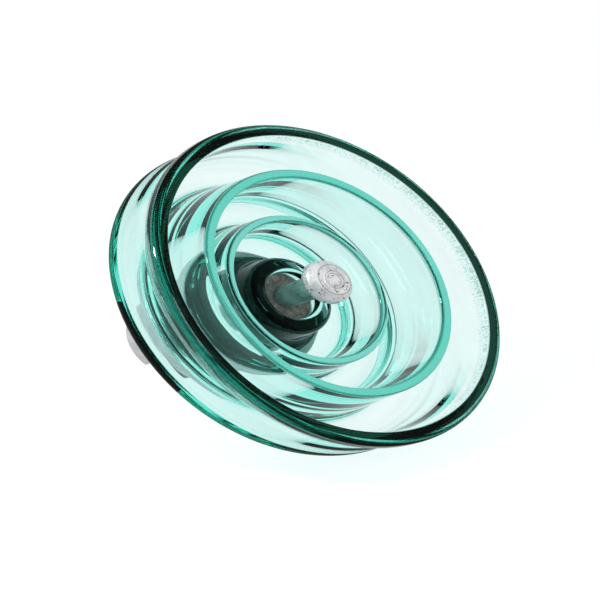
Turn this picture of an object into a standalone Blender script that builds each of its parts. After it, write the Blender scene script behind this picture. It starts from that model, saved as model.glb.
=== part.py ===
"""Cap-and-pin suspension insulator: a toughened glass disc hung between a socket cap and a ball pin.

Metres, +Z up. The origin is the coupling centre of the cap's socket, on the disc's axis. The cap is at the
top and the ball of the pin hangs one spacing below, as the insulator hangs in a string. The socket is open
towards +X, and the locking key is pulled out through the back of the cap, towards -X.
"""
import math

import bmesh
import bpy

# ---- driving dimensions ------------------------------------------------------------------------------
DISC_RADIUS = 0.127            # to the outside of the rim bead
SPACING = 0.127                # coupling centre of the socket to the coupling centre of the ball
SHANK_RADIUS = 0.0085          # 16 mm ball and socket coupling
BALL_RADIUS = 0.01665
BALL_HEIGHT = 0.0134
SOCKET_FLANGE = 0.0105         # metal above the coupling centre, carrying the ball
GAP = 0.0003                   # left between neighbouring solids
TURN_STEPS = 56                # facets round the disc and the cap
INNER_STEPS = 40               # facets round the pin and the pieces inside
ROUND_SEGMENTS = 3             # facets on a quarter of a rounded edge

RIM_Z = -SPACING - 0.0003      # height of the rim bead's centre; the shell's profile is measured from here
BEAD_RADIUS = 0.005
WALL_RADIUS = 0.1222           # outside of the deep skirt
SHOULDER = 0.0475              # the skirt's top corner above the rim
NECK_RADIUS = 0.036            # root of the hollow head
NECK_HEIGHT = 0.058
HEAD_RADIUS = 0.030
HEAD_HEIGHT = 0.0950
HEAD_ROUNDING = 0.009
BORE_RADIUS = 0.0185           # hole for the pin
BORE_TOP = 0.0830

CAP_LIP_RADIUS = 0.0455
CAP_LIP_HEIGHT = 0.0625        # above the rim
CAP_WALL = 0.0055
CAP_NECK_RADIUS = 0.0285       # outside of the socket
CAP_ROOF_RADIUS = 0.0345       # inside the bell, at its roof
CAP_FLOOR = 0.0070             # metal between the socket and the cement
SOCKET_DEPTH = 0.0215          # room for the ball below the flange
CAP_ROOF = -SOCKET_DEPTH - CAP_FLOOR   # underside of the socket floor
SOCKET_WIDTH = 0.0350
SLOT_WIDTH = 0.0192            # the shank passes here
CUSHION_RADIUS = 0.0215        # cork pad between the glass head and the cap
CEMENT_HEIGHT = 0.0310         # level of the pin cement in the hole
FOOT_RADIUS = 0.0130           # cone at the cemented end of the pin
FOOT_TOP = 0.0785

KEY_WIRE = 0.0030              # diameter of the locking key's wire
KEY_SPREAD = 0.0019            # from the key's centre plane to each leg
KEY_HEIGHT = -0.0185           # below the coupling centre
KEY_HOLE = 0.0048
KEY_TIP = 0.0140
KEY_EYE_RADIUS = 0.0075
KEY_BACK = 0.0365              # from the axis to the near side of the eye, clear of the cap


def clear_scene():
    for thing in list(bpy.data.objects):
        bpy.data.objects.remove(thing, do_unlink=True)


def new_collection(name):
    collection = bpy.data.collections.new(name)
    bpy.context.scene.collection.children.link(collection)
    return collection


def material(name, colour, roughness, metallic=0.0):
    mat = bpy.data.materials.new(name)
    mat.use_nodes = True
    shader = mat.node_tree.nodes["Principled BSDF"]
    shader.inputs["Base Color"].default_value = (*colour, 1.0)
    shader.inputs["Roughness"].default_value = roughness
    shader.inputs["Metallic"].default_value = metallic
    mat.diffuse_color = (*colour, 1.0)
    return mat


def rounded(corners, segments=ROUND_SEGMENTS):
    """Points of an open outline. Each corner is (radius, height, rounding); a rounding becomes an arc."""
    points = []
    for index, (r, z, rounding) in enumerate(corners):
        if rounding <= 0.0 or index in (0, len(corners) - 1):
            points.append((r, z))
            continue
        before, after = corners[index - 1], corners[index + 1]
        a = math.atan2(before[1] - z, before[0] - r)
        b = math.atan2(after[1] - z, after[0] - r)
        turn = (b - a + math.pi) % (2.0 * math.pi) - math.pi
        half = abs(turn) / 2.0
        reach = rounding / math.sin(half)
        middle = a + turn / 2.0
        centre = (r + reach * math.cos(middle), z + reach * math.sin(middle))
        sweep = math.pi - abs(turn)
        count = max(1, round(segments * sweep / (math.pi / 2.0)))
        start = middle + math.pi + math.copysign(sweep / 2.0, turn)
        for step in range(count + 1):
            angle = start - math.copysign(sweep * step / count, turn)
            points.append((centre[0] + rounding * math.cos(angle), centre[1] + rounding * math.sin(angle)))
    return points


def turned(name, outline, collection, mat=None, steps=TURN_STEPS):
    """A solid of revolution about Z from an outline that runs down its outer side, top to bottom."""
    mesh = bpy.data.meshes.new(name)
    shape = bmesh.new()
    verts = [shape.verts.new((r, 0.0, z)) for r, z in outline]
    for first, second in zip(verts, verts[1:]):
        shape.edges.new((first, second))
    if outline[0] != outline[-1] and outline[0][0] > 0.0:
        shape.edges.new((verts[-1], verts[0]))
    shape.to_mesh(mesh)
    shape.free()
    thing = bpy.data.objects.new(name, mesh)
    collection.objects.link(thing)
    screw = thing.modifiers.new("turn", "SCREW")
    screw.axis = "Z"
    screw.steps = steps
    screw.render_steps = steps
    screw.use_merge_vertices = True
    screw.merge_threshold = 0.00002
    screw.use_smooth_shade = True
    if mat is not None:
        mesh.materials.append(mat)
    return thing


def rod(name, radius, start, length, collection, sides=24):
    """A cylinder from a start point along +X."""
    bpy.ops.mesh.primitive_cylinder_add(vertices=sides, radius=radius, depth=length)
    thing = bpy.context.active_object
    thing.name = name
    for holder in list(thing.users_collection):
        holder.objects.unlink(thing)
    collection.objects.link(thing)
    thing.rotation_euler = (0.0, math.pi / 2.0, 0.0)
    thing.location = (start[0] + length / 2.0, start[1], start[2])
    return thing


def slotted(name, half_width, reach, low, high, collection, sides=20):
    """An upright slot: half a round hole on the axis, carried on in a straight slot to reach along +X."""
    outline = [(reach, -half_width), (reach, half_width)]
    for step in range(sides + 1):
        angle = math.pi / 2.0 + math.pi * step / sides
        outline.append((half_width * math.cos(angle), half_width * math.sin(angle)))
    curve = bpy.data.curves.new(name, "CURVE")
    curve.dimensions = "2D"
    curve.fill_mode = "BOTH"
    curve.extrude = (high - low) / 2.0
    spline = curve.splines.new("POLY")
    spline.points.add(len(outline) - 1)
    spline.use_cyclic_u = True
    for point, (x, y) in zip(spline.points, outline):
        point.co = (x, y, 0.0, 1.0)
    flat = bpy.data.objects.new(name + "_outline", curve)
    collection.objects.link(flat)
    flat.location = (0.0, 0.0, (high + low) / 2.0)
    return as_mesh(flat, name, collection)


def as_mesh(source, name, collection):
    """The mesh of a curve object, its caps welded on, in place of the curve."""
    bpy.context.view_layer.update()
    graph = bpy.context.evaluated_depsgraph_get()
    mesh = bpy.data.meshes.new_from_object(source.evaluated_get(graph))
    shape = bmesh.new()
    shape.from_mesh(mesh)
    bmesh.ops.remove_doubles(shape, verts=shape.verts, dist=0.00001)
    bmesh.ops.recalc_face_normals(shape, faces=shape.faces)
    shape.to_mesh(mesh)
    shape.free()
    thing = bpy.data.objects.new(name, mesh)
    thing.matrix_world = source.matrix_world.copy()
    collection.objects.link(thing)
    bpy.data.objects.remove(source, do_unlink=True)
    return thing


def cut(thing, cutter):
    cutter.hide_render = True
    cutter.display_type = "WIRE"
    boolean = thing.modifiers.new("cut_" + cutter.name, "BOOLEAN")
    boolean.operation = "DIFFERENCE"
    boolean.solver = "EXACT"
    boolean.object = cutter


def above_rim(corners):
    return [(r, z + RIM_Z, rounding) for r, z, rounding in corners]


def glass_shell(parts, mat):
    """The toughened glass disc: hollow head, deep skirt with a thick bead, two ribs and a boss."""
    head = [
        (0.0, HEAD_HEIGHT, 0.0),
        (HEAD_RADIUS, HEAD_HEIGHT, HEAD_ROUNDING),
        (NECK_RADIUS, NECK_HEIGHT, 0.004),
    ]
    skirt = [
        (WALL_RADIUS, SHOULDER, 0.0130),
        (WALL_RADIUS, 0.0070, 0.004),
        (DISC_RADIUS, 0.0045, 0.0045),
        (DISC_RADIUS, -BEAD_RADIUS, 0.0048),
        (DISC_RADIUS - 0.0105, -BEAD_RADIUS, 0.0018),
        (0.1135, 0.0140, 0.010),
    ]
    outer_groove = [
        (0.1120, 0.0425, 0.0085),
        (0.0925, 0.0420, 0.008),
    ]
    outer_rib = [
        (0.0896, -0.0060, 0.0024),
        (0.0830, -0.0060, 0.0024),
    ]
    middle_groove = [
        (0.0800, 0.0430, 0.010),
        (0.0610, 0.0430, 0.008),
    ]
    inner_rib = [
        (0.0590, 0.0110, 0.0023),
        (0.0540, 0.0110, 0.0023),
    ]
    inner_groove = [
        (0.0505, 0.0425, 0.007),
        (0.0320, 0.0425, 0.006),
    ]
    boss = [
        (0.0300, 0.0240, 0.0045),
        (BORE_RADIUS, 0.0240, 0.0035),
    ]
    bore = [
        (BORE_RADIUS, BORE_TOP, 0.005),
        (0.0, BORE_TOP, 0.0),
    ]
    corners = head + skirt + outer_groove + outer_rib + middle_groove + inner_rib + inner_groove + boss + bore
    return turned("glass_shell", rounded(above_rim(corners)), parts, mat)


def cap_body(parts, cutters, mat):
    """The cast cap: bell with a lip bead below, socket with its entry, slot and key hole above."""
    top = SOCKET_FLANGE
    lip = RIM_Z + CAP_LIP_HEIGHT
    inner = CAP_LIP_RADIUS - CAP_WALL
    corners = [
        (0.0, top, 0.0),
        (CAP_NECK_RADIUS, top, 0.0030),
        (CAP_NECK_RADIUS + 0.0005, CAP_ROOF + 0.0145, 0.010),
        (CAP_LIP_RADIUS - 0.0026, CAP_ROOF - 0.0070, 0.012),
        (CAP_LIP_RADIUS - 0.0022, lip + 0.0085, 0.003),
        (CAP_LIP_RADIUS, lip + 0.0065, 0.002),
        (CAP_LIP_RADIUS, lip, 0.002),
        (inner - 0.0005, lip, 0.0015),
        (inner, lip + 0.0080, 0.004),
        (CAP_ROOF_RADIUS, CAP_ROOF, 0.009),
        (0.0, CAP_ROOF, 0.0),
    ]
    cap = turned("cap", rounded(corners), parts, mat)

    reach = CAP_LIP_RADIUS + 0.010
    room = slotted("socket_room", SOCKET_WIDTH / 2.0, reach, -SOCKET_DEPTH, 0.0, cutters)
    slot = slotted("shank_slot", SLOT_WIDTH / 2.0, reach + 0.002, -0.004, top + 0.004, cutters)
    key_hole = rod("key_hole", KEY_HOLE, (-reach, 0.0, KEY_HEIGHT), reach, cutters)
    seat = turned("ball_seat", [(0.0, 0.0042), (0.0120, 0.0036), (0.0160, 0.0012), (0.0166, -0.0020),
                                (0.0, -0.0020)], cutters, steps=40)
    for cutter in (room, slot, key_hole, seat):
        cut(cap, cutter)
    return cap


def cap_cement(parts, mat):
    """Cement between the glass head and the cap, open in the middle for the cushion."""
    lip = RIM_Z + CAP_LIP_HEIGHT
    inner = CAP_LIP_RADIUS - CAP_WALL
    roof = CAP_ROOF - GAP
    outside = rounded([
        (CUSHION_RADIUS + GAP, roof, 0.0),
        (CAP_ROOF_RADIUS - GAP, roof, 0.009),
        (inner - GAP, lip + 0.0080, 0.004),
        (inner - 0.0008 - GAP, lip + 0.0005, 0.0),
        (NECK_RADIUS - 0.0004 + GAP, lip + 0.0005, 0.0),
    ])
    head = rounded(above_rim([
        (CUSHION_RADIUS + GAP, HEAD_HEIGHT + GAP, 0.0),
        (HEAD_RADIUS + GAP, HEAD_HEIGHT + GAP, HEAD_ROUNDING),
        (NECK_RADIUS + GAP, NECK_HEIGHT, 0.0),
    ]))[:-1]
    return turned("cap_cement", outside + list(reversed(head)), parts, mat, steps=INNER_STEPS)


def disc(name, radius, low, high, parts, mat):
    """A flat round pad with softened edges."""
    edge = 0.0004
    corners = [(0.0, high, 0.0), (radius, high, edge), (radius, low, edge), (0.0, low, 0.0)]
    return turned(name, rounded(corners, 1), parts, mat, steps=INNER_STEPS)


def pin(parts, mat):
    """The forged pin: cone foot in the cement, round shank, flattened ball with a flat end."""
    ball_top = -SPACING + 0.0030
    ball_end = ball_top - BALL_HEIGHT
    foot = RIM_Z + FOOT_TOP
    corners = [
        (0.0, foot, 0.0),
        (FOOT_RADIUS, foot, 0.0015),
        (FOOT_RADIUS, foot - 0.0050, 0.002),
        (SHANK_RADIUS + 0.0010, foot - 0.0160, 0.006),
        (SHANK_RADIUS + 0.0028, foot - 0.0220, 0.003),
        (SHANK_RADIUS + 0.0028, foot - 0.0250, 0.002),
        (SHANK_RADIUS, foot - 0.0340, 0.006),
        (SHANK_RADIUS, ball_top, 0.0035),
        (BALL_RADIUS - 0.0020, ball_top - 0.0022, 0.004),
        (BALL_RADIUS, ball_top - 0.0052, 0.0025),
        (BALL_RADIUS, ball_top - 0.0092, 0.0030),
        (BALL_RADIUS - 0.0045, ball_end, 0.0040),
        (0.0, ball_end, 0.0),
    ]
    return turned("pin", rounded(corners), parts, mat, steps=INNER_STEPS)


def pin_cement(parts, mat):
    """Cement that fills the hole around the pin, below the cushion."""
    low = RIM_Z + CEMENT_HEIGHT
    foot = RIM_Z + FOOT_TOP
    edge = BORE_RADIUS - GAP
    outside = [
        (FOOT_RADIUS + GAP, foot - 0.0010),
        (edge, foot - 0.0010),
        (edge, low),
        (SHANK_RADIUS + GAP, low),
    ]
    around_pin = rounded([
        (SHANK_RADIUS + GAP, low, 0.0),
        (SHANK_RADIUS + GAP, foot - 0.0340, 0.006),
        (SHANK_RADIUS + 0.0028 + GAP, foot - 0.0250, 0.002),
        (SHANK_RADIUS + 0.0028 + GAP, foot - 0.0220, 0.003),
        (SHANK_RADIUS + 0.0010 + GAP, foot - 0.0160, 0.006),
        (FOOT_RADIUS + GAP, foot - 0.0050, 0.002),
        (FOOT_RADIUS + GAP, foot - 0.0010, 0.0),
    ])
    return turned("pin_cement", outside + around_pin[1:-1], parts, mat, steps=INNER_STEPS)


def locking_key(parts, mat):
    """The split pin: one wire bent back on itself, its eye outside the cap and both legs in the socket."""
    eye_x = -KEY_BACK - KEY_EYE_RADIUS
    leg_start = eye_x + KEY_EYE_RADIUS + 0.0015
    route = []
    leg_points = 9
    for index in range(leg_points):
        along = index / (leg_points - 1)
        x = KEY_TIP + (leg_start - KEY_TIP) * along
        splay = 0.0010 * max(0.0, 1.0 - along * 4.0)
        route.append((x, KEY_SPREAD + splay, KEY_HEIGHT))
    eye_points = 17
    opening = math.asin(KEY_SPREAD * 1.6 / KEY_EYE_RADIUS)
    for index in range(eye_points):
        angle = opening + (2.0 * math.pi - 2.0 * opening) * index / (eye_points - 1)
        route.append((eye_x + KEY_EYE_RADIUS * math.cos(angle), KEY_EYE_RADIUS * math.sin(angle), KEY_HEIGHT))
    for index in range(leg_points):
        x, y, z = route[leg_points - 1 - index]
        route.append((x, -y, z))
    curve = bpy.data.curves.new("locking_key_wire", "CURVE")
    curve.dimensions = "3D"
    curve.bevel_depth = KEY_WIRE / 2.0
    curve.bevel_resolution = 2
    curve.use_fill_caps = True
    spline = curve.splines.new("POLY")
    spline.points.add(len(route) - 1)
    for point, place in zip(spline.points, route):
        point.co = (*place, 1.0)
    wire = bpy.data.objects.new("locking_key", curve)
    parts.objects.link(wire)
    curve.materials.append(mat)
    return wire


def main():
    clear_scene()
    parts = new_collection("glass_insulator")
    cutters = new_collection("cutters")
    glass = material("toughened_glass", (0.36, 0.78, 0.72), 0.04)
    cast = material("galvanised_cap", (0.58, 0.60, 0.61), 0.48, 0.85)
    forged = material("galvanised_pin", (0.62, 0.64, 0.65), 0.42, 0.85)
    cement = material("cement", (0.19, 0.18, 0.16), 0.92)
    cork = material("cork", (0.42, 0.27, 0.15), 0.95)
    bronze = material("phosphor_bronze", (0.62, 0.40, 0.20), 0.35, 0.9)

    glass_shell(parts, glass)
    cap_body(parts, cutters, cast)
    cap_cement(parts, cement)
    disc("cap_cushion", CUSHION_RADIUS, RIM_Z + HEAD_HEIGHT + GAP, CAP_ROOF - GAP, parts, cork)
    pin(parts, forged)
    pin_cement(parts, cement)
    disc("pin_cushion", FOOT_RADIUS, RIM_Z + FOOT_TOP + GAP, RIM_Z + BORE_TOP - GAP, parts, cork)
    locking_key(parts, bronze)


main()
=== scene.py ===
import math

import bmesh
import bpy
from mathutils import Matrix, Vector, noise


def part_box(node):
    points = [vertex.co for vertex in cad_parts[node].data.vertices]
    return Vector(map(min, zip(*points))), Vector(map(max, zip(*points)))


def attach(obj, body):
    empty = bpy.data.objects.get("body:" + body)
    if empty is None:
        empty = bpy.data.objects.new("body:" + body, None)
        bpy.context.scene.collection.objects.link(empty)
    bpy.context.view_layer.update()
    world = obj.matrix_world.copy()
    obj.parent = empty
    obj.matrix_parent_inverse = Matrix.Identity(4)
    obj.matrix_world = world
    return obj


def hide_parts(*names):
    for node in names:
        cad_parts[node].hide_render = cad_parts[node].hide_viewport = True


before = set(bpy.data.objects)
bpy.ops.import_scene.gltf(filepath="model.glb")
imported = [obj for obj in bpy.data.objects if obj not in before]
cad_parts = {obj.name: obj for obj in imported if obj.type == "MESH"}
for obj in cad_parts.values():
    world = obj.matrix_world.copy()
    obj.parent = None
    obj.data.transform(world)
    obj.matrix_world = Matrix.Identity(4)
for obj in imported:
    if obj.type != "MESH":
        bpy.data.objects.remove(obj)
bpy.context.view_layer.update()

# ---- sizes, in metres ----------------------------------------------------------------------------------
DISC_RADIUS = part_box("glass_shell")[1][0]
RIM_Z = -0.1273                # centre height of the rim bead, from which the shell's outline is measured
SPACING = 0.127
SHANK_RADIUS = 0.0085
BALL_RADIUS = 0.01665
BALL_HEIGHT = 0.0134
SOCKET_FLANGE = 0.0105
SOCKET_DEPTH = 0.0215
SOCKET_WIDTH = 0.0350
SLOT_WIDTH = 0.0192
BEAD_RADIUS = 0.005
WALL_RADIUS = 0.1222
SHOULDER = 0.0475
NECK_RADIUS = 0.036
NECK_HEIGHT = 0.058
HEAD_RADIUS = 0.030
HEAD_ROUNDING = 0.009
HEAD_HEIGHT = 0.0950
BORE_RADIUS = 0.0185
BORE_TOP = 0.0830
CAP_LIP_RADIUS = 0.0455
CAP_LIP_HEIGHT = 0.0625
CAP_WALL = 0.0055
CAP_NECK_RADIUS = 0.0285
CAP_ROOF_RADIUS = 0.0345
CAP_ROOF = -SOCKET_DEPTH - 0.0070
CUSHION_RADIUS = 0.0215
CEMENT_HEIGHT = 0.0310
FOOT_RADIUS = 0.0130
FOOT_TOP = 0.0785
KEY_WIRE = 0.0030
KEY_SPREAD = 0.0019
KEY_HEIGHT = -0.0185
KEY_HOLE = 0.0048
KEY_TIP = 0.0140
KEY_EYE_RADIUS = 0.0075
KEY_BACK = 0.0365
BOND = 0.00015                 # how far cement reaches into the glass it is bonded to

# ---- camera --------------------------------------------------------------------------------------------
VIEW_AZIMUTH = 135.0
VIEW_ELEVATION = -41.84
VIEW_ROLL = 116.45             # how far the disc's axis leans to the left of upright in the picture
VIEW_DISTANCE = 29.444 * DISC_RADIUS
VIEW_SHIFT = (0.0967, 0.0955)   # the rim's centre from the middle of the picture, in disc radii
LENS = 300.0
FLOOR_TILT = 25.1              # how far the camera looks down on the floor, in degrees
STRETCH = 1.367                # the picture is stretched this much, nearly along its width
STRETCH_TURN = 1.8             # degrees from the picture's width to the stretch

# ---- glass ---------------------------------------------------------------------------------------------
CLEAR = (1.0, 1.0, 1.0)
GLASS_IOR = 1.52
GLASS_COLOUR = (0.055, 0.903, 0.808)
GLASS_DENSITY = 21.0
BITUMEN = (0.004, 0.005, 0.005)
CAP_GREY = (0.10, 0.11, 0.10)
# Painted shade on the rim bead: near black underneath, dark green on its outer side, and a paler painted line
# of light between them.
BEAD_PAINTED_SHADE = (0.0001, 0.0030, 0.0012)
BEAD_PAINTED_LIGHT_LINE = (0.30, 0.75, 0.66)
GLASS_SHEEN = (0.22, 0.48, 0.43)
BEAD_SHEEN = (0.5, 0.5, 0.5)
BEAD_SIDE_PAINTED_SHADE = (0.008, 0.12, 0.085)
MOTTLE_TINT = (0.28, 0.50, 0.46)
# Painted shade on the rib tips: a dark line at each edge, with paler green between.
RIB_EDGE_PAINTED_SHADE = (0.004, 0.10, 0.07)
RIB_TIP_PAINTED_SHADE = (0.30, 0.58, 0.53)
RIB_EDGES = (0.0542, 0.0586, 0.0834, 0.0892)
RIB_LINE = 0.0006              # width of the painted dark line of shade at each edge of a rib's tip
RIB_TIP_HEIGHT = 0.0135        # height above the rim where the inner rib's painted shade starts
RIB_TIP_DROP = 0.0170          # how much lower the outer rib's painted shade starts
RIB_DIVIDE = 0.0700            # radius between the two ribs
RIM_INSIDE = (0.1100, 0.1112)  # radii where the rim's painted shade starts and is full
RIM_ABOVE = (0.0080, 0.0060)   # heights above the rim's centre where that painted shade starts and is full
BEAD_PAINTED_SHADE_STOPS = [                 # turn round the bead from its inner side, by way of its underside, and its painted shade
    (0.111, CLEAR), (0.128, BEAD_PAINTED_SHADE), (0.267, BEAD_PAINTED_SHADE), (0.283, BEAD_PAINTED_LIGHT_LINE), (0.300, BEAD_PAINTED_LIGHT_LINE),
    (0.322, BEAD_SIDE_PAINTED_SHADE), (0.480, BEAD_SIDE_PAINTED_SHADE), (0.580, CLEAR),
]

# ---- metal ---------------------------------------------------------------------------------------------
# Darker rings at these radii on the flat end of the ball.
PIN_RINGS = ((0.0049, 0.0004), (0.0068, 0.0005), (0.0118, 0.0006))   # radius and half width
RING_DARK_TONE = (0.35, 0.36, 0.36)
PIN_ZINC = (0.70, 0.71, 0.72)
PIN_ZINC_DARK = (0.40, 0.41, 0.42)
CAP_ZINC = (0.58, 0.59, 0.60)
CAP_ZINC_DARK = (0.42, 0.43, 0.44)
# Painted teal light of the glass on the pin's shank.
SHANK_PAINTED_GLASS_LIGHT = (0.42, 0.72, 0.66)

# ---- studio --------------------------------------------------------------------------------------------
DARK_ROOM = 0.3                # brightness of the room on the viewer's side; elsewhere it is 1
DARK_HALF_ANGLE = 50.0         # how far that side reaches from the viewing direction, in degrees
DARK_EDGE = 15.0               # half the width of its soft edge, in degrees
MIRRORED_ROOM = 0.15           # how bright the room shows in a mirror-sharp reflection
FLOOR_SIZE = 1.2               # half the side of the floor patch
FLOOR_FADE = (0.25, 0.75)      # distances from its middle where the patch starts and ends fading
# The floor's glow is teal and its matt colour reddish: white where lit, with a painted teal shadow where
# shaded.
PAINTED_TEAL_SHADOW_GLOW = (0.84, 0.99, 0.98)
FLOOR_GLOW_STRENGTH = 0.95
PAINTED_TEAL_SHADOW_MATT = (0.22, 0.10, 0.11)


def rounded(corners, segments):
    """Points of an open outline. Each corner is (radius, height, rounding); a rounding becomes an arc."""
    points = []
    for index, (r, z, rounding) in enumerate(corners):
        if rounding <= 0.0 or index in (0, len(corners) - 1):
            points.append((r, z))
            continue
        before, after = corners[index - 1], corners[index + 1]
        a = math.atan2(before[1] - z, before[0] - r)
        b = math.atan2(after[1] - z, after[0] - r)
        turn = (b - a + math.pi) % (2.0 * math.pi) - math.pi
        middle = a + turn / 2.0
        reach = rounding / math.sin(abs(turn) / 2.0)
        centre = (r + reach * math.cos(middle), z + reach * math.sin(middle))
        sweep = math.pi - abs(turn)
        count = max(1, round(segments * sweep / (math.pi / 2.0)))
        start = middle + math.pi + math.copysign(sweep / 2.0, turn)
        for step in range(count + 1):
            angle = start - math.copysign(sweep * step / count, turn)
            points.append((centre[0] + rounding * math.cos(angle), centre[1] + rounding * math.sin(angle)))
    return points


def refined(points, longest):
    """The same outline with its long straight runs divided."""
    result = [points[0]]
    for first, second in zip(points, points[1:]):
        pieces = max(1, math.ceil(math.dist(first, second) / longest))
        for step in range(1, pieces + 1):
            share = step / pieces
            result.append(tuple(a + (b - a) * share for a, b in zip(first, second)))
    return result


def link(name, mesh, mat):
    thing = bpy.data.objects.new(name, mesh)
    bpy.context.scene.collection.objects.link(thing)
    if mat is not None:
        mesh.materials.append(mat)
    return thing


def turned(name, outline, steps, mat=None, closed=False):
    """A surface of revolution about Z, smooth shaded, with its modifier applied."""
    mesh = bpy.data.meshes.new(name + "_outline")
    shape = bmesh.new()
    verts = [shape.verts.new((r, 0.0, z)) for r, z in outline]
    for first, second in zip(verts, verts[1:]):
        shape.edges.new((first, second))
    if closed:
        shape.edges.new((verts[-1], verts[0]))
    shape.to_mesh(mesh)
    shape.free()
    thing = link(name, mesh, mat)
    screw = thing.modifiers.new("turn", "SCREW")
    screw.steps = steps
    screw.render_steps = steps
    screw.use_merge_vertices = True
    screw.merge_threshold = 0.000005
    screw.use_smooth_shade = True
    apply_modifiers(thing)
    return thing


def apply_modifiers(thing):
    bpy.context.view_layer.update()
    graph = bpy.context.evaluated_depsgraph_get()
    mesh = bpy.data.meshes.new_from_object(thing.evaluated_get(graph))
    old = thing.data
    thing.modifiers.clear()
    thing.data = mesh
    if old.users == 0:
        bpy.data.meshes.remove(old)


def roughen(thing, amount, scale, seed, keep=None):
    """Moves each point along its normal by smooth noise, as cast, forged or cured surfaces are uneven."""
    mesh = thing.data
    normals = [vert.normal.copy() for vert in mesh.vertices]
    for vert, normal in zip(mesh.vertices, normals):
        if keep is not None and not keep(vert.co):
            continue
        place = vert.co * scale + Vector((seed, seed * 0.7, -seed))
        vert.co += normal * amount * noise.fractal(place, 0.9, 2.1, 3)


# ---- materials -----------------------------------------------------------------------------------------
def new_material(name):
    mat = bpy.data.materials.new(name)
    mat.use_nodes = True
    return mat, mat.node_tree.nodes, mat.node_tree.links, mat.node_tree.nodes["Principled BSDF"]


def noise_node(nodes, links, coords, scale, detail=4.0, roughness=0.55):
    texture = nodes.new("ShaderNodeTexNoise")
    texture.inputs["Scale"].default_value = scale
    texture.inputs["Detail"].default_value = detail
    texture.inputs["Roughness"].default_value = roughness
    links.new(coords, texture.inputs["Vector"])
    return texture.outputs["Fac"]


def ramp_node(nodes, links, source, stops):
    ramp = nodes.new("ShaderNodeValToRGB")
    elements = ramp.color_ramp.elements
    while len(elements) < len(stops):
        elements.new(0.5)
    for element, (place, colour) in zip(elements, stops):
        element.position = place
        element.color = (*colour, 1.0)
    links.new(source, ramp.inputs["Fac"])
    return ramp.outputs["Color"]


def range_node(nodes, links, source, low, high, to_low, to_high):
    span = nodes.new("ShaderNodeMapRange")
    span.inputs["From Min"].default_value = low
    span.inputs["From Max"].default_value = high
    span.inputs["To Min"].default_value = to_low
    span.inputs["To Max"].default_value = to_high
    links.new(source, span.inputs["Value"])
    return span.outputs["Result"]


def bump_node(nodes, links, height, strength, distance, below=None):
    bump = nodes.new("ShaderNodeBump")
    bump.inputs["Strength"].default_value = strength
    bump.inputs["Distance"].default_value = distance
    links.new(height, bump.inputs["Height"])
    if below is not None:
        links.new(below, bump.inputs["Normal"])
    return bump.outputs["Normal"]


def math_node(nodes, links, operation, first, second):
    """A math node; each operand is a socket or a number."""
    node = nodes.new("ShaderNodeMath")
    node.operation = operation
    for socket, value in zip(node.inputs, (first, second)):
        if isinstance(value, (int, float)):
            socket.default_value = value
        else:
            links.new(value, socket)
    return node.outputs[0]


def mix_value(nodes, links, factor, first, second):
    """A number between two others."""
    mix = nodes.new("ShaderNodeMix")
    links.new(factor, mix.inputs[0])
    links.new(first, mix.inputs[2])
    mix.inputs[3].default_value = second
    return mix.outputs[0]


def mix_node(nodes, links, factor, first, second, blend="MIX"):
    """A colour mix; each colour is a socket or a constant."""
    mix = nodes.new("ShaderNodeMix")
    mix.data_type = "RGBA"
    mix.blend_type = blend
    for name, value in (("Factor", factor), ("A", first), ("B", second)):
        socket = next(item for item in mix.inputs if item.name == name and item.enabled)
        if isinstance(value, (int, float)):
            socket.default_value = value
        elif isinstance(value, tuple):
            socket.default_value = (*value, 1.0)
        else:
            links.new(value, socket)
    return next(item for item in mix.outputs if item.enabled)


def radius_and_height(nodes, links, coords):
    """Distance from the disc's axis, and height, of the point that is shaded."""
    place = nodes.new("ShaderNodeSeparateXYZ")
    links.new(coords, place.inputs["Vector"])
    flat = nodes.new("ShaderNodeVectorMath")
    flat.operation = "MULTIPLY"
    flat.inputs[1].default_value = (1.0, 1.0, 0.0)
    links.new(coords, flat.inputs[0])
    span = nodes.new("ShaderNodeVectorMath")
    span.operation = "LENGTH"
    links.new(flat.outputs["Vector"], span.inputs[0])
    return span.outputs["Value"], place.outputs["Z"]


def painted_glass_shade(nodes, links, radius, height):
    """Clear glass, with painted shade: bottle green, near black, on the thick rim bead with a paler painted
    line along it, and dark painted lines at the edges of the rib tips.
    """
    around = math_node(nodes, links, "ARCTAN2",
                       math_node(nodes, links, "SUBTRACT", height, RIM_Z),
                       math_node(nodes, links, "SUBTRACT", radius, DISC_RADIUS - BEAD_RADIUS))
    share = range_node(nodes, links, around, -math.pi, math.pi, 0.0, 1.0)
    # The rim bead's painted shade, set by the turn round its section.
    bead = ramp_node(nodes, links, share, BEAD_PAINTED_SHADE_STOPS)
    outside = range_node(nodes, links, radius, *RIM_INSIDE, 0.0, 1.0)
    low = range_node(nodes, links, height, RIM_Z + RIM_ABOVE[0], RIM_Z + RIM_ABOVE[1], 0.0, 1.0)
    rim = math_node(nodes, links, "MULTIPLY", outside, low)
    across = range_node(nodes, links, radius, 0.0, DISC_RADIUS, 0.0, 1.0)
    # The rib tips' painted shade: a dark line at each edge, with paler green between.
    stops = []
    for edge in RIB_EDGES:
        for offset, colour in ((-1.0, RIB_TIP_PAINTED_SHADE), (-0.5, RIB_EDGE_PAINTED_SHADE), (0.5, RIB_EDGE_PAINTED_SHADE), (1.0, RIB_TIP_PAINTED_SHADE)):
            stops.append(((edge + offset * RIB_LINE) / DISC_RADIUS, colour))
    ribs = ramp_node(nodes, links, across, stops)
    past_inner = range_node(nodes, links, radius, RIB_DIVIDE, RIB_DIVIDE + 0.0001, 0.0, 1.0)
    drop = math_node(nodes, links, "MULTIPLY", past_inner, -RIB_TIP_DROP)
    tip_level = math_node(nodes, links, "ADD", RIM_Z + RIB_TIP_HEIGHT, drop)
    above_tip = math_node(nodes, links, "SUBTRACT", height, tip_level)
    tips = range_node(nodes, links, above_tip, 0.0010, -0.0004, 0.0, 1.0)
    tint = mix_node(nodes, links, tips, CLEAR, ribs)
    return mix_node(nodes, links, rim, tint, bead), rim


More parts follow.
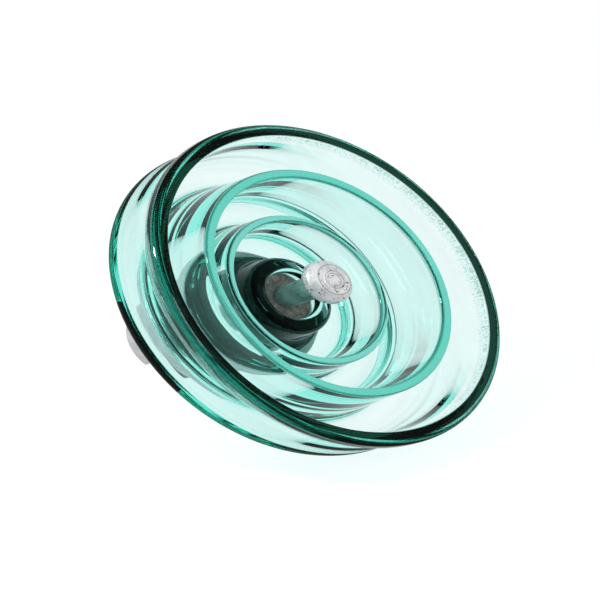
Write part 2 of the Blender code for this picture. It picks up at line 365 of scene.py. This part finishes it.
def glass_material():
    mat, nodes, links, shader = new_material("teal_glass")
    shader.inputs["Transmission Weight"].default_value = 1.0
    shader.inputs["IOR"].default_value = GLASS_IOR
    coords = nodes.new("ShaderNodeTexCoord").outputs["Object"]
    radius, height = radius_and_height(nodes, links, coords)
    tint, rim = painted_glass_shade(nodes, links, radius, height)
    flow = noise_node(nodes, links, coords, 18.0, 2.0, 0.4)
    grain = noise_node(nodes, links, coords, 700.0, 3.0, 0.6)
    outer = range_node(nodes, links, radius, WALL_RADIUS - 0.0010, WALL_RADIUS - 0.0005, 0.0, 1.0)
    fade = range_node(nodes, links, height, RIM_Z + 0.0020, RIM_Z + 0.0110, 0.22, -0.20)
    speckle = range_node(nodes, links, math_node(nodes, links, "ADD", grain, fade), 0.60, 0.72, 0.0, 1.0)
    speckle = math_node(nodes, links, "MULTIPLY", speckle, outer)
    tint = mix_node(nodes, links, speckle, tint, MOTTLE_TINT, "MULTIPLY")
    links.new(tint, shader.inputs["Base Color"])
    links.new(mix_node(nodes, links, rim, GLASS_SHEEN, BEAD_SHEEN), shader.inputs["Specular Tint"])
    band = range_node(nodes, links, height, RIM_Z + 0.0180, RIM_Z + 0.0060, 0.0, 1.0)
    band = math_node(nodes, links, "MULTIPLY", band, outer)
    side = range_node(nodes, links, height, RIM_Z - 0.0020, RIM_Z, 0.0, 1.0)
    mottle = math_node(nodes, links, "MULTIPLY", grain, math_node(nodes, links, "MULTIPLY", band, side))
    smooth = bump_node(nodes, links, flow, 0.15, 0.0010)
    links.new(bump_node(nodes, links, mottle, 0.08, 0.0003, smooth), shader.inputs["Normal"])
    links.new(range_node(nodes, links, mottle, 0.0, 0.6, 0.0, 0.03), shader.inputs["Roughness"])
    absorb = nodes.new("ShaderNodeVolumeAbsorption")
    absorb.inputs["Color"].default_value = (*GLASS_COLOUR, 1.0)
    absorb.inputs["Density"].default_value = GLASS_DENSITY
    links.new(absorb.outputs["Volume"], nodes["Material Output"].inputs["Volume"])
    return mat


def zinc_material(name, light, dark, speck, metallic, roughness, grain_scale, bump):
    """Hot-dip galvanised metal: grey patches, fine grain, dark specks where the coat is scuffed."""
    mat, nodes, links, shader = new_material(name)
    coords = nodes.new("ShaderNodeTexCoord").outputs["Object"]
    patches = noise_node(nodes, links, coords, 90.0, 5.0, 0.6)
    grain = noise_node(nodes, links, coords, grain_scale, 6.0, 0.7)
    specks = noise_node(nodes, links, coords, 520.0, 2.0, 0.5)
    blend = math_node(nodes, links, "ADD", patches, grain)
    tone = range_node(nodes, links, blend, 0.75, 1.3, 0.0, 1.0)
    bright = tuple(min(1.0, level * 1.12) for level in light)
    colour = ramp_node(nodes, links, tone, [(0.0, dark), (0.55, light), (1.0, bright)])
    pits = ramp_node(nodes, links, specks, [(0.32, (speck, speck, speck)), (0.37, CLEAR)])
    colour = mix_node(nodes, links, 1.0, colour, pits, "MULTIPLY")
    links.new(colour, shader.inputs["Base Color"])
    shader.inputs["Metallic"].default_value = metallic
    rough = range_node(nodes, links, grain, 0.3, 0.7, roughness - 0.08, roughness + 0.12)
    links.new(rough, shader.inputs["Roughness"])
    links.new(bump_node(nodes, links, blend, bump, 0.0006), shader.inputs["Normal"])
    return mat


def pin_material():
    """Galvanised forging, with the glass's teal light painted on the shank, and dark turned rings on the flat
    end of the ball.
    """
    mat = zinc_material("zinc_on_forging", PIN_ZINC, PIN_ZINC_DARK, 0.10, 0.55, 0.38, 1400.0, 0.35)
    nodes, links = mat.node_tree.nodes, mat.node_tree.links
    shader = nodes["Principled BSDF"]
    coords = nodes.new("ShaderNodeTexCoord").outputs["Object"]
    radius, height = radius_and_height(nodes, links, coords)
    stops = [(0.0, CLEAR)]
    for ring, width in PIN_RINGS:
        for offset, colour in ((-1.0, CLEAR), (0.0, RING_DARK_TONE), (1.0, CLEAR)):
            stops.append(((ring + offset * width) / BALL_RADIUS, colour))
    rings = ramp_node(nodes, links, range_node(nodes, links, radius, 0.0, BALL_RADIUS, 0.0, 1.0), stops)
    end = -SPACING + 0.0030 - BALL_HEIGHT
    flat_end = range_node(nodes, links, height, end + 0.0030, end + 0.0022, 0.0, 1.0)
    # Where the painted teal light of the glass lies on the shank.
    on_shank = range_node(nodes, links, height, -SPACING + 0.0015, -SPACING + 0.0045, 0.0, 1.0)
    colour = shader.inputs["Base Color"].links[0].from_socket
    colour = mix_node(nodes, links, flat_end, colour, rings, "MULTIPLY")
    links.new(mix_node(nodes, links, on_shank, colour, SHANK_PAINTED_GLASS_LIGHT, "MULTIPLY"), shader.inputs["Base Color"])
    return mat


def cement_material():
    """Grey cement on its open face, and black bitumen wherever it lies against the glass."""
    mat, nodes, links, shader = new_material("dark_cement")
    coords = nodes.new("ShaderNodeTexCoord").outputs["Object"]
    coarse = noise_node(nodes, links, coords, 260.0, 6.0, 0.65)
    fine = noise_node(nodes, links, coords, 1500.0, 3.0, 0.6)
    grey = ramp_node(nodes, links, coarse, [(0.3, (0.09, 0.095, 0.085)), (0.55, (0.24, 0.25, 0.225)),
                                            (0.75, (0.38, 0.39, 0.35))])
    place = nodes.new("ShaderNodeSeparateXYZ")
    links.new(coords, place.inputs["Vector"])
    face = RIM_Z + CEMENT_HEIGHT
    open_face = range_node(nodes, links, place.outputs["Z"], face + 0.0012, face + 0.0004, 0.0, 1.0)
    share = range_node(nodes, links, place.outputs["Z"], RIM_Z + NECK_HEIGHT, RIM_Z + HEAD_HEIGHT, 0.0, 1.0)
    hidden = ramp_node(nodes, links, share, [(0.0, BITUMEN), (0.06, CAP_GREY)])
    links.new(mix_node(nodes, links, open_face, hidden, grey), shader.inputs["Base Color"])
    shader.inputs["Roughness"].default_value = 0.95
    shader.inputs["Specular IOR Level"].default_value = 0.0
    links.new(bump_node(nodes, links, fine, 0.7, 0.0005), shader.inputs["Normal"])
    return mat


def cork_material():
    mat, nodes, links, shader = new_material("pressed_cork")
    coords = nodes.new("ShaderNodeTexCoord").outputs["Object"]
    cells = nodes.new("ShaderNodeTexVoronoi")
    cells.inputs["Scale"].default_value = 600.0
    links.new(coords, cells.inputs["Vector"])
    colour = ramp_node(nodes, links, cells.outputs["Distance"], [
        (0.0, (0.34, 0.20, 0.10)), (0.8, (0.15, 0.08, 0.04))])
    links.new(colour, shader.inputs["Base Color"])
    shader.inputs["Roughness"].default_value = 0.9
    links.new(bump_node(nodes, links, cells.outputs["Distance"], 0.5, 0.0004), shader.inputs["Normal"])
    return mat


def bronze_material():
    mat, nodes, links, shader = new_material("drawn_bronze")
    coords = nodes.new("ShaderNodeTexCoord").outputs["Object"]
    tarnish = noise_node(nodes, links, coords, 160.0, 5.0, 0.6)
    colour = ramp_node(nodes, links, tarnish, [
        (0.35, (0.20, 0.11, 0.05)), (0.6, (0.62, 0.36, 0.16)), (0.8, (0.75, 0.48, 0.24))])
    links.new(colour, shader.inputs["Base Color"])
    shader.inputs["Metallic"].default_value = 0.95
    links.new(range_node(nodes, links, tarnish, 0.3, 0.7, 0.45, 0.25), shader.inputs["Roughness"])
    links.new(bump_node(nodes, links, tarnish, 0.15, 0.0002), shader.inputs["Normal"])
    return mat


# ---- pieces --------------------------------------------------------------------------------------------
def above_rim(corners):
    return [(r, z + RIM_Z, rounding) for r, z, rounding in corners]


def make_glass(mat):
    corners = [
        (0.0, HEAD_HEIGHT, 0.0),
        (HEAD_RADIUS, HEAD_HEIGHT, HEAD_ROUNDING),
        (NECK_RADIUS, NECK_HEIGHT, 0.004),
        (WALL_RADIUS, SHOULDER, 0.0130),
        (WALL_RADIUS, 0.0070, 0.004),
        (DISC_RADIUS, 0.0045, 0.0045),
        (DISC_RADIUS, -BEAD_RADIUS, 0.0048),
        (0.1165, -BEAD_RADIUS, 0.0018),
        (0.1135, 0.0140, 0.010),
        (0.1120, 0.0425, 0.0085),
        (0.0925, 0.0420, 0.008),
        (0.0896, -0.0060, 0.0024),
        (0.0830, -0.0060, 0.0024),
        (0.0800, 0.0430, 0.010),
        (0.0610, 0.0430, 0.008),
        (0.0590, 0.0110, 0.0023),
        (0.0540, 0.0110, 0.0023),
        (0.0505, 0.0425, 0.007),
        (0.0320, 0.0425, 0.006),
        (0.0300, 0.0240, 0.0045),
        (BORE_RADIUS, 0.0240, 0.0035),
        (BORE_RADIUS, BORE_TOP, 0.005),
        (0.0, BORE_TOP, 0.0),
    ]
    glass = turned("glass_disc", refined(rounded(above_rim(corners), 24), 0.002), 256, mat)
    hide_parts("glass_shell")
    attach(glass, "insulator")
    return glass


def make_pin(mat):
    ball_top = -SPACING + 0.0030
    ball_end = ball_top - BALL_HEIGHT
    foot = RIM_Z + FOOT_TOP
    corners = [
        (0.0, foot, 0.0),
        (FOOT_RADIUS, foot, 0.0015),
        (FOOT_RADIUS, foot - 0.0050, 0.002),
        (SHANK_RADIUS + 0.0010, foot - 0.0160, 0.006),
        (SHANK_RADIUS + 0.0028, foot - 0.0220, 0.003),
        (SHANK_RADIUS + 0.0028, foot - 0.0250, 0.002),
        (SHANK_RADIUS, foot - 0.0340, 0.006),
        (SHANK_RADIUS, ball_top, 0.0035),
        (BALL_RADIUS - 0.0020, ball_top - 0.0022, 0.004),
        (BALL_RADIUS, ball_top - 0.0052, 0.0025),
        (BALL_RADIUS, ball_top - 0.0092, 0.0030),
        (BALL_RADIUS - 0.0045, ball_end, 0.0040),
        (0.0094, ball_end, 0.0004),
        (0.0088, ball_end + 0.00035, 0.0004),
        (0.0080, ball_end + 0.00035, 0.0004),
        (0.0074, ball_end, 0.0004),
        (0.0054, ball_end, 0.0003),
        (0.0050, ball_end + 0.0003, 0.0003),
        (0.0, ball_end + 0.0003, 0.0),
    ]
    piece = turned("forged_pin", refined(rounded(corners, 8), 0.0012), 160, mat)
    roughen(piece, 0.00012, 260.0, 3.0)
    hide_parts("pin")
    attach(piece, "insulator")
    return piece


def make_pin_cement(mat):
    low = RIM_Z + CEMENT_HEIGHT
    top = RIM_Z + BORE_TOP + BOND
    edge = BORE_RADIUS + BOND
    outline = [
        (FOOT_RADIUS + 0.0003, top - 0.004),
        (FOOT_RADIUS + 0.002, top),
        (edge - 0.004, top),
        (edge, top - 0.004),
        (edge, low),
        (SHANK_RADIUS - BOND, low),
        (SHANK_RADIUS - BOND, top - 0.04),
        (FOOT_RADIUS + 0.0003, top - 0.02),
    ]
    piece = turned("pin_grout", refined(outline, 0.0008), 200, mat, closed=True)
    roughen(piece, 0.0005, 420.0, 7.0, lambda place: place.z < low + 0.0004)
    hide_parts("pin_cement")
    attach(piece, "insulator")
    return piece


def make_cap_cement(mat):
    lip = RIM_Z + CAP_LIP_HEIGHT
    inner = CAP_LIP_RADIUS - CAP_WALL
    outside = rounded([
        (CUSHION_RADIUS, CAP_ROOF, 0.0),
        (CAP_ROOF_RADIUS, CAP_ROOF, 0.009),
        (inner, lip + 0.0080, 0.004),
        (inner - 0.0005, lip + 0.0005, 0.0),
        (NECK_RADIUS - 0.0008, lip + 0.0005, 0.0),
    ], 8)
    head = rounded(above_rim([
        (CUSHION_RADIUS, HEAD_HEIGHT - BOND, 0.0),
        (HEAD_RADIUS - BOND, HEAD_HEIGHT - BOND, HEAD_ROUNDING),
        (NECK_RADIUS - BOND, NECK_HEIGHT, 0.0),
    ]), 12)[:-1]
    piece = turned("cap_grout", refined(outside + list(reversed(head)), 0.001), 200, mat, closed=True)
    roughen(piece, 0.0004, 420.0, 11.0, lambda place: place.z < lip + 0.0008)
    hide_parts("cap_cement")
    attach(piece, "insulator")
    return piece


def slotted(name, half_width, reach, low, high, sides=48):
    """An upright slot: half a round hole on the axis, carried on in a straight slot to reach along +X."""
    outline = [(reach, -half_width), (reach, half_width)]
    for step in range(sides + 1):
        angle = math.pi / 2.0 + math.pi * step / sides
        outline.append((half_width * math.cos(angle), half_width * math.sin(angle)))
    shape = bmesh.new()
    floor = shape.faces.new([shape.verts.new((x, y, low)) for x, y in outline])
    raised = bmesh.ops.extrude_face_region(shape, geom=[floor])["geom"]
    for item in raised:
        if isinstance(item, bmesh.types.BMVert):
            item.co.z = high
    bmesh.ops.recalc_face_normals(shape, faces=shape.faces)
    mesh = bpy.data.meshes.new(name)
    shape.to_mesh(mesh)
    shape.free()
    return link(name, mesh, None)


def make_cap(mat):
    top = SOCKET_FLANGE
    lip = RIM_Z + CAP_LIP_HEIGHT
    inner = CAP_LIP_RADIUS - CAP_WALL
    corners = [
        (0.0, top, 0.0),
        (CAP_NECK_RADIUS, top, 0.0030),
        (CAP_NECK_RADIUS + 0.0005, CAP_ROOF + 0.0145, 0.010),
        (CAP_LIP_RADIUS - 0.0026, CAP_ROOF - 0.0070, 0.012),
        (CAP_LIP_RADIUS - 0.0022, lip + 0.0085, 0.003),
        (CAP_LIP_RADIUS, lip + 0.0065, 0.002),
        (CAP_LIP_RADIUS, lip, 0.002),
        (inner - 0.0005, lip, 0.0015),
        (inner, lip + 0.0080, 0.004),
        (CAP_ROOF_RADIUS, CAP_ROOF, 0.009),
        (0.0, CAP_ROOF, 0.0),
    ]
    piece = turned("socket_cap", refined(rounded(corners, 8), 0.004), 128, mat)
    reach = CAP_LIP_RADIUS + 0.010
    cutters = [
        slotted("cut_room", SOCKET_WIDTH / 2.0, reach, -SOCKET_DEPTH, 0.0),
        slotted("cut_slot", SLOT_WIDTH / 2.0, reach + 0.002, -0.004, top + 0.004),
        turned("cut_seat", [
            (0.0, 0.0042), (0.0120, 0.0036), (0.0160, 0.0012), (0.0166, -0.0020), (0.0, -0.0020)], 96),
    ]
    hole = bmesh.new()
    bmesh.ops.create_cone(hole, cap_ends=True, segments=48, radius1=KEY_HOLE, radius2=KEY_HOLE, depth=reach)
    turn = Matrix.Translation((-reach / 2.0, 0.0, KEY_HEIGHT)) @ Matrix.Rotation(math.pi / 2.0, 4, "Y")
    bmesh.ops.transform(hole, matrix=turn, verts=hole.verts)
    mesh = bpy.data.meshes.new("cut_hole")
    hole.to_mesh(mesh)
    hole.free()
    cutters.append(link("cut_hole", mesh, None))
    for cutter in cutters:
        boolean = piece.modifiers.new(cutter.name, "BOOLEAN")
        boolean.operation = "DIFFERENCE"
        boolean.solver = "EXACT"
        boolean.object = cutter
    bevel = piece.modifiers.new("worn_edges", "BEVEL")
    bevel.width = 0.0007
    bevel.segments = 3
    bevel.limit_method = "ANGLE"
    bevel.angle_limit = math.radians(50.0)
    apply_modifiers(piece)
    for cutter in cutters:
        bpy.data.objects.remove(cutter, do_unlink=True)
    piece.data.shade_smooth()
    piece.data.set_sharp_from_angle(angle=math.radians(40.0))
    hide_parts("cap")
    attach(piece, "insulator")
    return piece


def make_key(mat):
    eye_x = -KEY_BACK - KEY_EYE_RADIUS
    leg_start = eye_x + KEY_EYE_RADIUS + 0.0015
    route = []
    leg_points = 17
    for index in range(leg_points):
        along = index / (leg_points - 1)
        x = KEY_TIP + (leg_start - KEY_TIP) * along
        splay = 0.0010 * max(0.0, 1.0 - along * 4.0)
        route.append((x, KEY_SPREAD + splay, KEY_HEIGHT))
    eye_points = 41
    opening = math.asin(KEY_SPREAD * 1.6 / KEY_EYE_RADIUS)
    for index in range(eye_points):
        angle = opening + (2.0 * math.pi - 2.0 * opening) * index / (eye_points - 1)
        route.append((eye_x + KEY_EYE_RADIUS * math.cos(angle), KEY_EYE_RADIUS * math.sin(angle), KEY_HEIGHT))
    for index in range(leg_points):
        x, y, z = route[leg_points - 1 - index]
        route.append((x, -y, z))
    curve = bpy.data.curves.new("split_pin", "CURVE")
    curve.dimensions = "3D"
    curve.bevel_depth = KEY_WIRE / 2.0
    curve.bevel_resolution = 6
    curve.use_fill_caps = True
    spline = curve.splines.new("POLY")
    spline.points.add(len(route) - 1)
    for point, place in zip(spline.points, route):
        point.co = (*place, 1.0)
    spline.use_smooth = True
    curve.materials.append(mat)
    wire = bpy.data.objects.new("split_pin_wire", curve)
    bpy.context.scene.collection.objects.link(wire)
    bpy.context.view_layer.update()
    mesh = bpy.data.meshes.new_from_object(wire.evaluated_get(bpy.context.evaluated_depsgraph_get()))
    bpy.data.objects.remove(wire, do_unlink=True)
    key = link("split_pin", mesh, None)
    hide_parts("locking_key")
    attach(key, "key")
    return key


# ---- camera, floor and light ---------------------------------------------------------------------------
def seen_from(azimuth, elevation):
    """The direction from the object to a viewer. Azimuth 0 is at -Y and 90 at +X, in degrees."""
    turn, rise = math.radians(azimuth), math.radians(elevation)
    return Vector((math.sin(turn) * math.cos(rise), -math.cos(turn) * math.cos(rise), math.sin(rise)))


def view_axes():
    """Right, up and forward of the camera in the object's frame."""
    roll = math.radians(VIEW_ROLL)
    forward = -seen_from(VIEW_AZIMUTH, VIEW_ELEVATION)
    level_right = forward.cross(Vector((0.0, 0.0, 1.0))).normalized()
    level_up = level_right.cross(forward)
    right = math.cos(roll) * level_right - math.sin(roll) * level_up
    up = math.sin(roll) * level_right + math.cos(roll) * level_up
    return right, up, forward


def make_camera():
    right, up, forward = view_axes()
    place = Vector((0.0, 0.0, RIM_Z)) - forward * VIEW_DISTANCE
    place -= (right * VIEW_SHIFT[0] + up * VIEW_SHIFT[1]) * DISC_RADIUS
    data = bpy.data.cameras.new("photo_camera")
    data.lens = LENS
    data.sensor_width = 36.0
    data.clip_start = 0.05
    data.clip_end = 50.0
    camera = bpy.data.objects.new("photo_camera", data)
    bpy.context.scene.collection.objects.link(camera)
    bpy.context.scene.camera = camera
    rig = bpy.data.objects.new("camera_rig", None)
    bpy.context.scene.collection.objects.link(rig)
    camera.parent = rig
    # The picture plane leans back sideways, which widens what it sees without moving the camera.
    lean = math.sqrt(1.0 - 1.0 / STRETCH ** 2)
    turn = math.radians(STRETCH_TURN)
    along = (math.cos(turn) * right - math.sin(turn) * up) / STRETCH + lean * forward
    across = -math.sin(turn) * right - math.cos(turn) * up
    columns = [math.cos(turn) * along - math.sin(turn) * across,
               -(math.sin(turn) * along + math.cos(turn) * across), -forward, place]
    rows = [[column[row] for column in columns] for row in range(3)]
    camera.matrix_parent_inverse = Matrix(rows + [[0, 0, 0, 1]])
    return camera


def floor_normal():
    up, forward = view_axes()[1:]
    tilt = math.radians(FLOOR_TILT)
    return up * math.cos(tilt) - forward * math.sin(tilt)


def make_floor():
    """A pale glowing patch under the rim and the cap, with a painted teal shadow. It fades out at its edge
    and shows from above only.
    """
    normal = floor_normal()
    lowest = min(normal.dot(thing.matrix_world @ Vector(vert.co))
                 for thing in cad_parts.values() for vert in thing.data.vertices)
    centre = Vector((0.0, 0.0, RIM_Z / 2.0))
    centre += normal * (lowest - normal.dot(centre))
    shape = bmesh.new()
    bmesh.ops.create_grid(shape, x_segments=1, y_segments=1, size=FLOOR_SIZE)
    turn = Matrix.Translation(centre) @ normal.to_track_quat("Z", "Y").to_matrix().to_4x4()
    mesh = bpy.data.meshes.new("floor")
    shape.to_mesh(mesh)
    shape.free()
    floor = link("floor", mesh, None)
    floor.matrix_world = turn
    mat = bpy.data.materials.new("pale_floor")
    mat.use_nodes = True
    nodes, links = mat.node_tree.nodes, mat.node_tree.links
    nodes.remove(nodes["Principled BSDF"])
    coords = nodes.new("ShaderNodeTexCoord").outputs["Object"]
    distance = nodes.new("ShaderNodeVectorMath")
    distance.operation = "LENGTH"
    links.new(coords, distance.inputs[0])
    fade = range_node(nodes, links, distance.outputs["Value"], *FLOOR_FADE, 0.0, 1.0)
    # Teal glow and reddish matt colour: the floor is white where lit and shows a painted teal shadow where
    # shaded.
    glow = nodes.new("ShaderNodeEmission")
    glow.inputs["Color"].default_value = (*PAINTED_TEAL_SHADOW_GLOW, 1.0)
    glow.inputs["Strength"].default_value = FLOOR_GLOW_STRENGTH
    matt = nodes.new("ShaderNodeBsdfDiffuse")
    matt.inputs["Color"].default_value = (*PAINTED_TEAL_SHADOW_MATT, 1.0)
    lit = nodes.new("ShaderNodeAddShader")
    links.new(glow.outputs[0], lit.inputs[0])
    links.new(matt.outputs[0], lit.inputs[1])
    clear = nodes.new("ShaderNodeBsdfTransparent")
    behind = nodes.new("ShaderNodeNewGeometry").outputs["Backfacing"]
    hide = math_node(nodes, links, "MAXIMUM", fade, behind)
    mix = nodes.new("ShaderNodeMixShader")
    links.new(hide, mix.inputs["Fac"])
    links.new(lit.outputs[0], mix.inputs[1])
    links.new(clear.outputs[0], mix.inputs[2])
    links.new(mix.outputs[0], nodes["Material Output"].inputs["Surface"])
    mesh.materials.append(mat)
    floor.visible_transmission = False
    floor.visible_glossy = False
    floor.visible_diffuse = False


def make_world():
    """A white studio, dimmer on the viewer's side. The camera itself sees plain white all round."""
    world = bpy.data.worlds.new("studio")
    bpy.context.scene.world = world
    world.use_nodes = True
    nodes, links = world.node_tree.nodes, world.node_tree.links
    background = nodes["Background"]
    facing = nodes.new("ShaderNodeVectorMath")
    facing.operation = "DOT_PRODUCT"
    facing.inputs[1].default_value = seen_from(VIEW_AZIMUTH, VIEW_ELEVATION)
    links.new(nodes.new("ShaderNodeTexCoord").outputs["Generated"], facing.inputs[0])
    dark = math.cos(math.radians(DARK_HALF_ANGLE - DARK_EDGE))
    light = math.cos(math.radians(DARK_HALF_ANGLE + DARK_EDGE))
    level = range_node(nodes, links, facing.outputs["Value"], light, dark, 1.0, DARK_ROOM)
    ray = nodes.new("ShaderNodeLightPath").outputs
    mirrored = math_node(nodes, links, "MULTIPLY", ray["Is Singular Ray"], ray["Is Reflection Ray"])
    mirrored = math_node(nodes, links, "MULTIPLY", mirrored, 1.0 - MIRRORED_ROOM)
    level = math_node(nodes, links, "MULTIPLY", level, math_node(nodes, links, "SUBTRACT", 1.0, mirrored))
    level = mix_value(nodes, links, ray["Is Camera Ray"], level, 1.0)
    links.new(level, background.inputs["Strength"])
    background.inputs["Color"].default_value = (1.0, 1.0, 1.0, 1.0)


def make_light(name, offset, size, power):
    """A soft box at an offset (right, up, back) from the disc, aimed at it."""
    right, up, forward = view_axes()
    target = Vector((0.0, 0.0, RIM_Z))
    data = bpy.data.lights.new(name, "AREA")
    data.shape = "RECTANGLE"
    data.size, data.size_y = size
    data.energy = power
    light = bpy.data.objects.new(name, data)
    bpy.context.scene.collection.objects.link(light)
    light.location = target + right * offset[0] + up * offset[1] - forward * offset[2]
    light.rotation_euler = (target - light.location).to_track_quat("-Z", "Y").to_euler()
    return light


def main():
    make_camera()
    make_glass(glass_material())
    make_pin(pin_material())
    cement = cement_material()
    make_pin_cement(cement)
    make_cap_cement(cement)
    make_cap(zinc_material("zinc_on_casting", CAP_ZINC, CAP_ZINC_DARK, 0.72, 0.5, 0.5, 900.0, 0.6))
    make_key(bronze_material())
    cork = cork_material()
    for node in ("cap_cushion", "pin_cushion"):
        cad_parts[node].material_slots[0].material = cork
    make_floor()
    make_world()
    make_light("key_softbox", (-0.9, 0.9, 1.0), (0.16, 0.6), 14.0)
    make_light("fill_softbox", (0.9, 0.5, 1.1), (0.5, 0.5), 5.0)
    scene = bpy.context.scene
    scene.view_settings.view_transform = "Standard"
    scene.cycles.max_bounces = 24
    scene.cycles.transmission_bounces = 24
    scene.cycles.transparent_max_bounces = 16


main()
